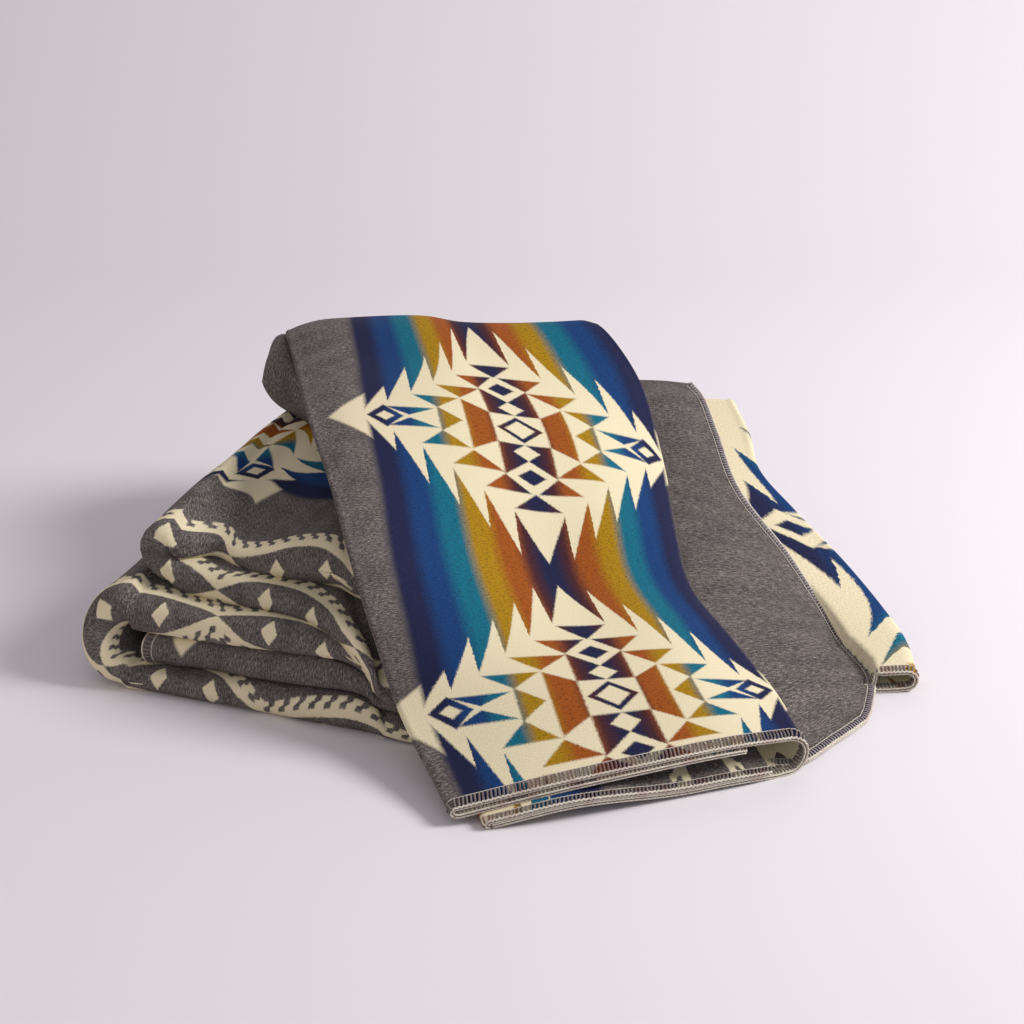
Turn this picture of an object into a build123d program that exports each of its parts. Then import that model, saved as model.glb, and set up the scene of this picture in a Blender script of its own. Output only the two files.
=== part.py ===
from build123d import *
import os

# Folded camp blanket, millimetres, +Z up, lying on the floor at Z = 0.
# One woven double cloth is folded lengthwise into a strip, the strip is stacked in
# zigzag legs, and its last length runs over the stack and down to the floor.
# Each node is one stretch of the folded cloth, or the stitched edging on one of its ends.

FLOOR = 0.0
ABOVE_ALL = 400.0

# The stack: its front left corner on the floor, and the direction its legs run in.
STACK_CORNER = Vector(-329, -85, 0)
STACK_TURN = -20.5
LEG_LENGTH = 440.0
LEG_DEPTH = 330.0
UPPER_SETBACK = 38.0
UPPER_SHIFT = 22.0

# Heights where one leg of the stack ends and the next begins.
BOTTOM_LEG_TOP = 20.0
TUCKED_END_TOP = 46.0
SECOND_LEG_TOP = 86.0
THIRD_LEG_TOP = 117.0
FOURTH_LEG_TOP = 148.0

# The ridge that the runner rolls over, and the rear side of the heap.
REAR_Y = 307.0
RIDGE_LEFT_X = -232.0
RIDGE_RIGHT_X = 96.0
RIDGE_FRONT_Y = 170.0
RIDGE_TOP = 216.0
REAR_RIGHT_X = 190.0

# Cloth thicknesses as they lie: several soft layers together, or a single layer.
RUNNER_THICK = 18.0
DRAPE_THICK = 13.0
PANEL_THICK = 6.0
REVERSE_THICK = 16.0
EDGING_WIDTH = 5.0
EDGING_LIFT = 1.0

# Runner, from the rear over the ridge to the floor in front: a cross-section at each Y,
# as (X, Z) points of the upper face from its left fold to its right fold.
RUNNER_SECTIONS = [
    (307, [(-212, 174), (-91, 196), (-37, 185), (30, 178), (102, 150)]),
    (287, [(-213, 200), (-91, 212), (-37, 204), (29, 199), (101, 186)]),
    (232, [(-214, 221), (-89, 238), (-35, 231), (30, 230), (107, 222)]),
    (142, [(-195, 217), (-69, 224), (-9, 212), (70, 194), (155, 155)]),
    (52, [(-175, 206), (-54, 204), (23, 177), (98, 150), (166, 106)]),
    (-58, [(-143, 173), (-28, 138), (47, 101), (117, 91), (183, 70)]),
    (-158, [(-108, 107), (3, 83), (80, 74), (151, 73), (225, 55)]),
    (-238, [(-66, 36), (25, 48), (107, 49), (184, 43), (255, 30)]),
    (-330, [(-24, 19), (45, 24), (126, 29), (202, 31), (258, 28)]),
]
# The runner's end is cut across by a vertical plane through these two plan points.
RUNNER_END_LEFT = (-34, -314)
RUNNER_END_RIGHT = (250, -240)

# Grey side panel, a single layer that fans out from under the runner's right fold.
PANEL_SECTIONS = [
    (262, [(110, 156), (197, 156)]),
    (187, [(118, 142), (216, 134)]),
    (107, [(122, 114), (232, 103)]),
    (42, [(130, 84), (277, 60)]),
    (-6, [(138, 66), (302, 33)]),
    (-46, [(142, 58), (317, 18)]),
    (-86, [(148, 50), (335, 9)]),
    (-148, [(154, 40), (335, 7)]),
    (-238, [(164, 31), (335, 7)]),
]
PANEL_END_LEFT = (250, -231)
PANEL_END_RIGHT = (323, -148)

# Fold with its cream reverse side out, lowest of the fanned layers on the right.
REVERSE_SECTIONS = [
    (262, [(164, 140), (241, 138)]),
    (222, [(170, 126), (253, 120)]),
    (179, [(178, 110), (258, 101)]),
    (126, [(188, 90), (290, 76)]),
    (62, [(204, 60), (329, 53)]),
    (-6, [(218, 36), (357, 37)]),
    (-55, [(236, 24), (372, 28)]),
    (-98, [(254, 17), (375, 19)]),
]
REVERSE_END_LEFT = (254, -98)
REVERSE_END_RIGHT = (375, -98)


def stack_point(u, v, z):
    """A point of the stack: u along the legs, v from front to rear, z up."""
    return STACK_CORNER + Vector(u, v, 0).rotate(Axis.Z, STACK_TURN) + Vector(0, 0, z)


def cross_plane(u):
    """Plane across the legs at u, with its x from front to rear and its y up."""
    rearward = Vector(0, 1, 0).rotate(Axis.Z, STACK_TURN)
    along = Vector(1, 0, 0).rotate(Axis.Z, STACK_TURN)
    return Plane(origin=stack_point(u, 0, 0), x_dir=rearward, z_dir=along)


def side_plane(v):
    """Plane along the legs at v, with its x along them and its y up, facing forward."""
    rearward = Vector(0, 1, 0).rotate(Axis.Z, STACK_TURN)
    along = Vector(1, 0, 0).rotate(Axis.Z, STACK_TURN)
    return Plane(origin=stack_point(0, v, 0), x_dir=along, z_dir=-rearward)


def leg_solid(u_start, v_start, z_low, z_high):
    """One leg of the stacked strip, with its two long folds rounded."""
    depth = LEG_DEPTH - v_start
    height = z_high - z_low
    with BuildPart() as leg:
        with BuildSketch(cross_plane(u_start)):
            with Locations((v_start + depth / 2, z_low + height / 2)):
                RectangleRounded(depth, height, height * 0.42)
        extrude(amount=LEG_LENGTH - u_start)
    return leg.part


def skin_solid(sections, thick):
    """A cloth skin under an upper face given by cross-sections at several Y."""
    with BuildPart() as skin:
        for y, upper in sections:
            lower = [(x, max(z - thick, FLOOR)) for x, z in reversed(upper)]
            with BuildSketch(Plane.XZ.offset(-y)):
                with BuildLine():
                    Polyline(*upper, *lower, close=True)
                make_face()
        loft(ruled=True)
    return skin.part


def space_over(sections, thick):
    """Everything over the lower face of that same skin."""
    with BuildPart() as space:
        for y, upper in sections:
            lower = [(x, max(z - thick, FLOOR)) for x, z in reversed(upper)]
            roof = [(upper[0][0], ABOVE_ALL), (upper[-1][0], ABOVE_ALL)]
            with BuildSketch(Plane.XZ.offset(-y)):
                with BuildLine():
                    Polyline(*roof, *lower, close=True)
                make_face()
        loft(ruled=True)
    return space.part


def end_cutter(left, right, setback):
    """A block in front of a cloth's end, moved back along it by setback."""
    start = Vector(left[0], left[1], 0)
    across = (Vector(right[0], right[1], 0) - start).normalized()
    outward = Vector(across.Y, -across.X, 0)
    corner = start - outward * setback - across * 300
    with BuildPart(Plane(origin=corner, x_dir=across, z_dir=(0, 0, 1))) as block:
        Box(900, 300, ABOVE_ALL, align=(Align.MIN, Align.MAX, Align.MIN))
    return block.part


def prism(outline, z_low, z_high):
    """An upright block over a plan outline."""
    with BuildPart() as block:
        with BuildSketch(Plane.XY.offset(z_low)):
            with BuildLine():
                Polyline(*outline, close=True)
            make_face()
        extrude(amount=z_high - z_low)
    return block.part


os.makedirs("parts", exist_ok=True)

runner_skin = skin_solid(RUNNER_SECTIONS, RUNNER_THICK)
over_runner = space_over(RUNNER_SECTIONS, RUNNER_THICK)
runner_end = end_cutter(RUNNER_END_LEFT, RUNNER_END_RIGHT, 0)
runner_edge_start = end_cutter(RUNNER_END_LEFT, RUNNER_END_RIGHT, EDGING_WIDTH)
panel_skin = skin_solid(PANEL_SECTIONS, PANEL_THICK)
over_panel = space_over(PANEL_SECTIONS, PANEL_THICK)
panel_end = end_cutter(PANEL_END_LEFT, PANEL_END_RIGHT, 0)
panel_edge_start = end_cutter(PANEL_END_LEFT, PANEL_END_RIGHT, EDGING_WIDTH)
reverse_skin = skin_solid(REVERSE_SECTIONS, REVERSE_THICK)
over_reverse = space_over(REVERSE_SECTIONS, REVERSE_THICK)

# Runner: the top layers of the last length, ending in front on the floor.
with BuildPart() as runner_top:
    add(runner_skin)
    add(runner_edge_start, mode=Mode.SUBTRACT)
runner_top.part.label = "runner_top"
export_step(runner_top.part, "parts/runner_top.step")

# Stitched edging across the runner's end, on its top layers.
with BuildPart() as runner_top_edging:
    add(runner_skin)
    add(runner_edge_start, mode=Mode.INTERSECT)
    add(runner_end, mode=Mode.SUBTRACT)
    add(prism([(-100, -400), (300, -400), (300, -150), (-100, -150)], FLOOR, EDGING_LIFT),
        mode=Mode.SUBTRACT)
runner_top_edging.part.label = "runner_top_edging"
export_step(runner_top_edging.part, "parts/runner_top_edging.step")

# Under layers of the runner, between its top layers and the floor near its end.
lower_outline = [(-64, -208), (-22, -308), (238, -244), (222, -198)]
with BuildPart() as runner_lower:
    add(prism(lower_outline, FLOOR, 90))
    add(over_runner, mode=Mode.SUBTRACT)
    add(runner_edge_start, mode=Mode.SUBTRACT)
runner_lower.part.label = "runner_lower"
export_step(runner_lower.part, "parts/runner_lower.step")

# Edging across the under layers' ends.
with BuildPart() as runner_lower_edging:
    add(prism([(-20, -358), (-20, -278), (234, -218), (234, -318)], EDGING_LIFT, 90))
    add(over_runner, mode=Mode.SUBTRACT)
    add(runner_edge_start, mode=Mode.INTERSECT)
    add(runner_end, mode=Mode.SUBTRACT)
runner_lower_edging.part.label = "runner_lower_edging"
export_step(runner_lower_edging.part, "parts/runner_lower_edging.step")

# Grey side panel beyond the runner's right fold.
with BuildPart() as side_panel:
    add(panel_skin)
    add(over_runner, mode=Mode.SUBTRACT)
    add(runner_lower.part, mode=Mode.SUBTRACT)
    add(runner_lower_edging.part, mode=Mode.SUBTRACT)
    add(panel_edge_start, mode=Mode.SUBTRACT)
side_panel.part.label = "side_panel"
export_step(side_panel.part, "parts/side_panel.step")

# Edging across the panel's end.
with BuildPart() as side_panel_edging:
    add(panel_skin)
    add(over_runner, mode=Mode.SUBTRACT)
    add(runner_lower.part, mode=Mode.SUBTRACT)
    add(runner_lower_edging.part, mode=Mode.SUBTRACT)
    add(panel_edge_start, mode=Mode.INTERSECT)
    add(panel_end, mode=Mode.SUBTRACT)
side_panel_edging.part.label = "side_panel_edging"
export_step(side_panel_edging.part, "parts/side_panel_edging.step")

# Fold that shows the cream reverse side.
reverse_end = end_cutter(REVERSE_END_LEFT, REVERSE_END_RIGHT, 0)
reverse_edge_start = end_cutter(REVERSE_END_LEFT, REVERSE_END_RIGHT, EDGING_WIDTH)
with BuildPart() as reverse_fold:
    add(reverse_skin)
    add(over_panel, mode=Mode.SUBTRACT)
    add(reverse_edge_start, mode=Mode.SUBTRACT)
reverse_fold.part.label = "reverse_fold"
export_step(reverse_fold.part, "parts/reverse_fold.step")

# Edging across the reverse fold's end.
with BuildPart() as reverse_fold_edging:
    add(reverse_skin)
    add(over_panel, mode=Mode.SUBTRACT)
    add(reverse_edge_start, mode=Mode.INTERSECT)
    add(reverse_end, mode=Mode.SUBTRACT)
reverse_fold_edging.part.label = "reverse_fold_edging"
export_step(reverse_fold_edging.part, "parts/reverse_fold_edging.step")

covers = [over_runner, over_panel, over_reverse, runner_lower.part]

# Bottom leg of the stack, flat on the floor.
with BuildPart() as bottom_leg:
    add(leg_solid(0, 0, FLOOR, BOTTOM_LEG_TOP))
    add(covers, mode=Mode.SUBTRACT)
bottom_leg.part.label = "bottom_leg"
export_step(bottom_leg.part, "parts/bottom_leg.step")

# End of an inner layer, tucked into the lower fold, and its edging.
tucked = leg_solid(12, 6, BOTTOM_LEG_TOP, TUCKED_END_TOP)
with BuildPart() as tucked_edge_block:
    with BuildSketch(cross_plane(12)):
        with Locations((LEG_DEPTH / 2, 40)):
            Rectangle(LEG_DEPTH * 2, 80)
    extrude(amount=EDGING_WIDTH)
with BuildPart() as tucked_end:
    add(tucked)
    add(tucked_edge_block.part, mode=Mode.SUBTRACT)
    add(covers, mode=Mode.SUBTRACT)
tucked_end.part.label = "tucked_end"
export_step(tucked_end.part, "parts/tucked_end.step")

with BuildPart() as tucked_end_edging:
    add(tucked)
    add(tucked_edge_block.part, mode=Mode.INTERSECT)
tucked_end_edging.part.label = "tucked_end_edging"
export_step(tucked_end_edging.part, "parts/tucked_end_edging.step")

# Second leg, over the tucked end.
with BuildPart() as second_leg:
    add(leg_solid(0, 0, TUCKED_END_TOP, SECOND_LEG_TOP))
    add(covers, mode=Mode.SUBTRACT)
second_leg.part.label = "second_leg"
export_step(second_leg.part, "parts/second_leg.step")

# Left turn that joins the bottom leg to the second leg.
with BuildPart() as lower_turn:
    with BuildSketch(side_plane(0)):
        with Locations((0, SECOND_LEG_TOP / 2)):
            Ellipse(46, SECOND_LEG_TOP / 2)
        with Locations((0, (BOTTOM_LEG_TOP + TUCKED_END_TOP) / 2)):
            Circle((TUCKED_END_TOP - BOTTOM_LEG_TOP) / 2, mode=Mode.SUBTRACT)
        with Locations((60, SECOND_LEG_TOP / 2)):
            Rectangle(120, 120, mode=Mode.SUBTRACT)
    extrude(amount=-LEG_DEPTH)
lower_turn.part.label = "lower_turn"
export_step(lower_turn.part, "parts/lower_turn.step")

# Third leg.
with BuildPart() as third_leg:
    add(leg_solid(UPPER_SHIFT, UPPER_SETBACK, SECOND_LEG_TOP, THIRD_LEG_TOP))
    add(covers, mode=Mode.SUBTRACT)
third_leg.part.label = "third_leg"
export_step(third_leg.part, "parts/third_leg.step")

# Fourth leg, the top of the stack.
with BuildPart() as fourth_leg:
    add(leg_solid(UPPER_SHIFT, UPPER_SETBACK, THIRD_LEG_TOP, FOURTH_LEG_TOP))
    add(covers, mode=Mode.SUBTRACT)
fourth_leg.part.label = "fourth_leg"
export_step(fourth_leg.part, "parts/fourth_leg.step")

# Left turn that joins the third leg to the fourth leg.
with BuildPart() as upper_turn:
    with BuildSketch(side_plane(UPPER_SETBACK)):
        with Locations((UPPER_SHIFT, THIRD_LEG_TOP)):
            Circle(FOURTH_LEG_TOP - THIRD_LEG_TOP)
        with Locations((UPPER_SHIFT + 60, THIRD_LEG_TOP)):
            Rectangle(120, 120, mode=Mode.SUBTRACT)
    extrude(amount=-(LEG_DEPTH - UPPER_SETBACK))
upper_turn.part.label = "upper_turn"
export_step(upper_turn.part, "parts/upper_turn.step")

# Folded cloth behind the stack, under the ridge.
rear_left = stack_point(0, LEG_DEPTH, 0)
rear_right = stack_point(LEG_LENGTH, LEG_DEPTH, 0)
rear_outline = [
    (rear_left.X, rear_left.Y),
    (rear_right.X - 40, rear_right.Y + 15),
    (REAR_RIGHT_X, REAR_Y),
    (rear_left.X, REAR_Y),
]
with BuildPart() as rear_leg:
    add(prism(rear_outline, FLOOR, FOURTH_LEG_TOP))
    add(covers, mode=Mode.SUBTRACT)
rear_leg.part.label = "rear_leg"
export_step(rear_leg.part, "parts/rear_leg.step")

# Roll of cloth on top of the stack that makes the ridge.
ridge_outline = [
    (RIDGE_LEFT_X, RIDGE_FRONT_Y),
    (RIDGE_RIGHT_X, RIDGE_FRONT_Y),
    (RIDGE_RIGHT_X, REAR_Y),
    (RIDGE_LEFT_X, REAR_Y),
]
with BuildPart() as ridge_fold:
    add(prism(ridge_outline, FOURTH_LEG_TOP, RIDGE_TOP))
    fillet(ridge_fold.edges().filter_by(Axis.X).group_by(Axis.Z)[-1], 18)
    add(covers, mode=Mode.SUBTRACT)
ridge_fold.part.label = "ridge_fold"
export_step(ridge_fold.part, "parts/ridge_fold.step")

# Cloth that hangs down the rear from the ridge to the floor.
with BuildPart() as rear_drape:
    with BuildSketch(Plane.YZ.offset(RIDGE_LEFT_X + 20)):
        with BuildLine():
            Polyline((REAR_Y, FLOOR), (REAR_Y + DRAPE_THICK + 8, FLOOR),
                     (REAR_Y + DRAPE_THICK, 120), (REAR_Y + DRAPE_THICK * 0.6, 172),
                     (REAR_Y, 172), close=True)
        make_face()
    extrude(amount=RIDGE_RIGHT_X - RIDGE_LEFT_X - 24)
rear_drape.part.label = "rear_drape"
export_step(rear_drape.part, "parts/rear_drape.step")
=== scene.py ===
import math

import bpy
import numpy as np
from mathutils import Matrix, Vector
from mathutils.bvhtree import BVHTree


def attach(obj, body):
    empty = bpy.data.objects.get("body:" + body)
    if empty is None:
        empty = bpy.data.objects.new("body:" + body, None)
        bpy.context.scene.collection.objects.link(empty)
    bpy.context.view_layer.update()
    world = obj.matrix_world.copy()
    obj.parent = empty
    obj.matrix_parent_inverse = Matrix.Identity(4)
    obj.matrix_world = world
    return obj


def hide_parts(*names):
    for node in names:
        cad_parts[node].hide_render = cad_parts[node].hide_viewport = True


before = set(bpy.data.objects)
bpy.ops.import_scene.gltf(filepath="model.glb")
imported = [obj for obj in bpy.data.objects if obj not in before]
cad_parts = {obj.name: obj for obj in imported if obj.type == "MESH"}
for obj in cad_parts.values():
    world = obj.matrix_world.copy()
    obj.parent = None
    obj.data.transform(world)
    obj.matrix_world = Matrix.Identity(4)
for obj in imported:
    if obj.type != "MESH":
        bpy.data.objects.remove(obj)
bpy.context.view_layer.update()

MM = 0.001

# --- the cloth as woven
# Across the blanket, millimetres. Three ombre star bands with two lattice bands between.
COLUMN = 23.6                   # one step of the star's grid, across
ROW = 19.4                      # one step of the star's grid, along
HALF_BAND = 6 * COLUMN          # ombre band, centre to grey ground
GREY_GAP = 62.0                 # grey between a star band and a lattice band
LATTICE_HALF = 38.0
BAND_PERIOD = 2 * (HALF_BAND + GREY_GAP + LATTICE_HALF)
BORDER = 150.0                  # plain grey along each side edge
HALF_WIDTH = BAND_PERIOD + HALF_BAND + BORDER
STAR_PITCH = 17.5 * ROW
STAR_START = 3.6 * ROW          # first star's centre from the end edge
EYE_PITCH = STAR_PITCH / 2
EYE_SWING, EYE_WAIST = 21.0, 4.0            # how far the lattice's two ribbons part
RIBBON_HALF = 3.9
TEETH_PER_EYE, TOOTH_REACH = 11, 14.5
GEM_OFFSET, GEM_HALF = 28.0, 10.0           # lattice diamonds, from the middle of an eye
CLOTH_THICK = 3.6
GRID_SPAN = 8.0                 # steps from a star's centre that its ramps cover

# Linear colours.
CREAM = (0.80, 0.71, 0.475)
GREY = (0.113, 0.096, 0.089)
GREY_DARK = (0.040, 0.034, 0.034)
GREY_PALE = (0.30, 0.27, 0.245)
NAVY = (0.014, 0.018, 0.062)
BLUE = (0.008, 0.050, 0.175)
TEAL = (0.006, 0.150, 0.225)
GOLD = (0.41, 0.225, 0.006)
RUST = (0.36, 0.090, 0.011)
MAROON = (0.070, 0.020, 0.024)


# --- material nodes
class Nodes:
    """Short calls for building a node tree out of numbers and sockets."""

    def __init__(self, tree):
        self.tree = tree

    def new(self, kind, **settings):
        node = self.tree.nodes.new(kind)
        for key, value in settings.items():
            setattr(node, key, value)
        return node

    def put(self, value, socket):
        if isinstance(value, bpy.types.NodeSocket):
            self.tree.links.new(value, socket)
        else:
            socket.default_value = value

    def math(self, operation, *values, clamp=False):
        node = self.new("ShaderNodeMath", operation=operation, use_clamp=clamp)
        for value, socket in zip(values, node.inputs):
            self.put(value, socket)
        return node.outputs[0]

    def add(self, a, b):
        return self.math("ADD", a, b)

    def sub(self, a, b):
        return self.math("SUBTRACT", a, b)

    def mul(self, a, b):
        return self.math("MULTIPLY", a, b)

    def size(self, a):
        return self.math("ABSOLUTE", a)

    def scaled(self, a, k, offset):
        return self.math("MULTIPLY_ADD", a, k, offset)

    def least(self, first, *rest):
        for value in rest:
            first = self.math("MINIMUM", first, value)
        return first

    def most(self, first, *rest):
        for value in rest:
            first = self.math("MAXIMUM", first, value)
        return first

    def linear(self, a, b, ka, kb, offset):
        """ka * a + kb * b + offset"""
        return self.scaled(a, ka, self.scaled(b, kb, offset))

    def step(self, inside, softness):
        """0 to 1 as inside goes from under to over zero, across a soft edge."""
        return self.math("MULTIPLY_ADD", inside, 1 / softness, 0.5, clamp=True)

    def mix(self, share, a, b):
        """Numbers: a where share is 0, b where it is 1."""
        return self.scaled(self.sub(b, a), share, a)

    def mix_colour(self, share, a, b, blend="MIX"):
        node = self.new("ShaderNodeMix", data_type="RGBA", blend_type=blend)
        self.put(share, node.inputs[0])
        self.put(as_colour(a), node.inputs[6])
        self.put(as_colour(b), node.inputs[7])
        return node.outputs[2]

    def ramp(self, value, stops):
        node = self.new("ShaderNodeValToRGB")
        ramp = node.color_ramp
        ramp.elements.remove(ramp.elements[1])
        ramp.elements[0].position = stops[0][0]
        ramp.elements[0].color = as_colour(stops[0][1])
        for place, colour in stops[1:]:
            ramp.elements.new(place).color = as_colour(colour)
        self.put(value, node.inputs[0])
        return node.outputs[0]

    def fill(self, node, inputs):
        """Set a node's inputs by name, and give its first output."""
        for key, value in inputs.items():
            self.put(value, node.inputs[key])
        return node.outputs[0]

    def noise(self, vector, scale, detail=2.0, roughness=0.5):
        return self.fill(self.new("ShaderNodeTexNoise"), {
            "Vector": vector, "Scale": scale, "Detail": detail, "Roughness": roughness})

    def vector(self, x, y, z=0.0):
        node = self.new("ShaderNodeCombineXYZ")
        for value, socket in zip((x, y, z), node.inputs):
            self.put(value, socket)
        return node.outputs[0]


def as_colour(value):
    if isinstance(value, bpy.types.NodeSocket):
        return value
    if isinstance(value, (int, float)):
        return (value, value, value, 1.0)
    return (*value[:3], 1.0)


def diamond(n, c, r, centre, half):
    """Above zero inside a diamond of the star's grid."""
    across = n.mul(n.size(n.sub(c, centre[0])), 1 / half[0])
    along = n.mul(n.size(n.sub(r, centre[1])), 1 / half[1])
    return n.mul(n.sub(n.sub(1.0, across), along), min(half))


def wedge(n, c, r, apex, base, low, high):
    """Above zero inside a triangle from its apex out to a base at r = base, c = low to high."""
    depth = base - apex[1]
    share = n.scaled(r, 1 / depth, -apex[1] / depth)
    left = n.sub(c, n.scaled(share, low - apex[0], apex[0]))
    right = n.sub(n.scaled(share, high - apex[0], apex[0]), c)
    return n.least(left, right, n.sub(base, r))


def star_mask(n, c, r):
    """1 where a star's cream shows, over the grid c across and r along, both from its centre.

    A toothed outline and the tip beyond it are cream; figures are then laid on one by one."""
    soft = 0.10
    # Rows that the outline's teeth reach, from the outermost column to the centre.
    valleys = (0.3, 1.0, 1.9, 3.1, 4.2, 5.1)
    tips = (2.4, 4.4, 5.5, 6.6, 7.8, 8.0)
    span = GRID_SPAN
    stops = []
    for k in range(5, -1, -1):
        stops.append(((5 - k + 0.001) / span, tips[k] / 10))
        stops.append(((6 - k - 0.001) / span, valleys[k] / 10))
    stops.append((6.002 / span, 0.0))
    edge = n.ramp(n.mul(c, 1 / span), stops)
    inside = n.least(n.sub(n.mul(edge, 10.0), r), n.mul(n.sub(6.05, c), 8.0))
    tip = n.least(n.sub(n.mul(n.sub(7.4, c), 1.45 / 1.4), r), n.sub(c, 5.9))
    mask = n.step(n.most(inside, tip), soft * 2)

    def gem(centre, half):
        return diamond(n, c, r, centre, half)

    def tooth(apex, base, low, high):
        return wedge(n, c, r, apex, base, low, high)

    cream, dyed = 1.0, 0.0
    figures = [
        (dyed, n.least(n.sub(1.0, c), n.sub(r, 1.0), n.sub(3.0, r))),
        (cream, gem((0, 1.5), (0.5, 0.5))),
        (cream, gem((0, 3.0), (1.0, 1.0))),
        (dyed, gem((0, 3.0), (0.55, 0.5))),
        (dyed, gem((0, 0), (0.88, 0.88))),
        (cream, gem((0, 0), (0.57, 0.60))),
        (dyed, tooth((1.0, 3.0), 4.0, 0.13, 1.85)),
        (dyed, tooth((0.0, 4.0), 5.0, -0.9, 0.9)),
        (dyed, tooth((2.0, 1.9), 2.9, 1.0, 2.9)),
        (dyed, tooth((3.0, 0.85), 1.8, 2.1, 3.94)),
        (dyed, n.least(n.sub(c, 1.0), n.sub(2.0, c), n.linear(c, r, 0.78, -1.0, 0.22))),
        (dyed, n.least(n.sub(3.05, c), n.linear(c, r, 1.0, -1.0, -2.15))),
        (dyed, tooth((4.2, 0.1), 0.7, 3.15, 5.1)),
        (dyed, gem((5.17, 0), (0.73, 0.80))),
        (cream, gem((5.17, 0), (0.36, 0.33))),
    ]
    for value, shape in figures:
        mask = n.mix(n.step(shape, soft), mask, value)
    return mask


def lattice_mask(n, across, along):
    """1 where the lattice band's cream shows; across is from its centre, both in mm."""
    turn = n.mul(along, math.pi / EYE_PITCH)
    swing = n.size(n.math("SINE", turn))
    middle = n.scaled(swing, EYE_SWING, EYE_WAIST)
    off = n.size(across)
    beyond = n.sub(off, middle)
    ribbon = n.sub(RIBBON_HALF, n.size(beyond))
    pitch = EYE_PITCH / TEETH_PER_EYE
    hook = n.mul(n.step(n.sub(beyond, 9.5), 2.0), 0.28)
    place = n.math("FRACT", n.add(n.add(n.mul(along, 1 / pitch), hook), n.mul(beyond, 0.012)))
    tooth = n.sub(n.mul(pitch, 0.29), n.size(n.mul(n.sub(place, 0.5), pitch)))
    tooth = n.least(tooth, n.sub(TOOTH_REACH, beyond), beyond)
    from_middle = n.mul(n.sub(n.math("FRACT", n.mul(along, 1 / EYE_PITCH)), 0.5), EYE_PITCH)
    reach = n.size(n.sub(n.size(from_middle), GEM_OFFSET))
    gem = n.sub(GEM_HALF, n.add(n.mul(reach, 1.15), n.mul(off, 0.9)))
    return n.step(n.most(ribbon, tooth, gem), 1.4)


def stripe_colours(n, c):
    """The ombre band's yarns, by the step c from its centre."""
    span = GRID_SPAN
    yarns = [(0.5, NAVY), (1.0, MAROON), (2.0, RUST), (3.0, GOLD), (4.0, TEAL), (5.0, BLUE),
             (6.0, NAVY), (8.0, GREY)]
    blur = 0.24
    stops = [(0.0, yarns[0][1])]
    for (end, colour), (_, after) in zip(yarns, yarns[1:]):
        stops.append(((end - blur) / span, colour))
        stops.append(((end + blur) / span, after))
    return n.ramp(n.mul(c, 1 / span), stops)


def node_material(name):
    """A material with an empty node tree."""
    material = bpy.data.materials.new(name)
    material.use_nodes = True
    material.node_tree.nodes.clear()
    return material, Nodes(material.node_tree)


def fabric_shader(n, colour, roughness, sheen, height, strength, depth):
    """The tree's shader and output, with a bump of the given strength and depth in metres."""
    bump = n.fill(n.new("ShaderNodeBump"),
                  {"Strength": strength, "Distance": depth, "Height": height})
    shader = n.new("ShaderNodeBsdfPrincipled")
    surface = n.fill(shader, {"Base Color": colour, "Roughness": roughness,
                              "Sheen Weight": sheen, "Normal": bump})
    n.put(surface, n.new("ShaderNodeOutputMaterial").inputs["Surface"])
    return shader


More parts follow.
